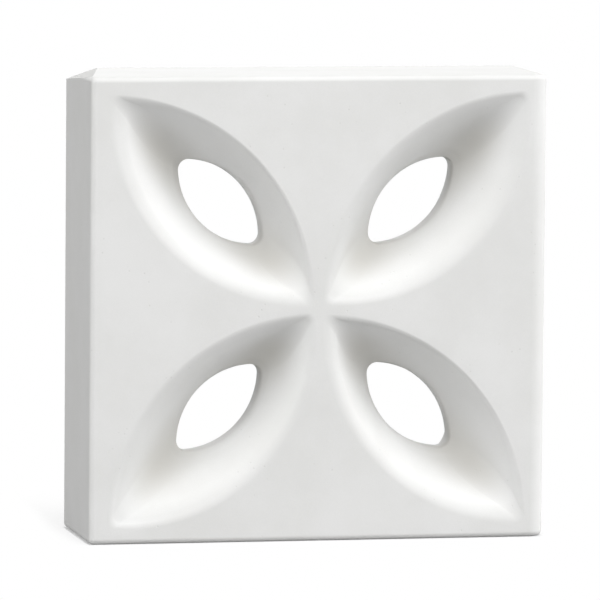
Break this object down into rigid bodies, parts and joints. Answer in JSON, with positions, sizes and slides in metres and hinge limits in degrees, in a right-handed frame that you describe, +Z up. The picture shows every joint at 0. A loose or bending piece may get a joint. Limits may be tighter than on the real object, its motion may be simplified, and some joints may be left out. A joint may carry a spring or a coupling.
{
  "type": "decorative screen block",
  "caption": "Square cast concrete screen block with leaf-shaped scoops on its diagonals, each narrowing to a lens-shaped hole that flares to the plain back and lets light and air through.",
  "frame": {"origin": "middle of the underside, on the floor that the block stands on", "axes": "+X to the right across the front face, +Y from the front face to the back, +Z up"},
  "size_m": [0.29, 0.09, 0.29],
  "materials": {
    "cast_concrete": "smooth matt white cast concrete"
  },
  "bodies": {
    "root": {"screen_block": "cast_concrete"}
  },
  "joints": []
}
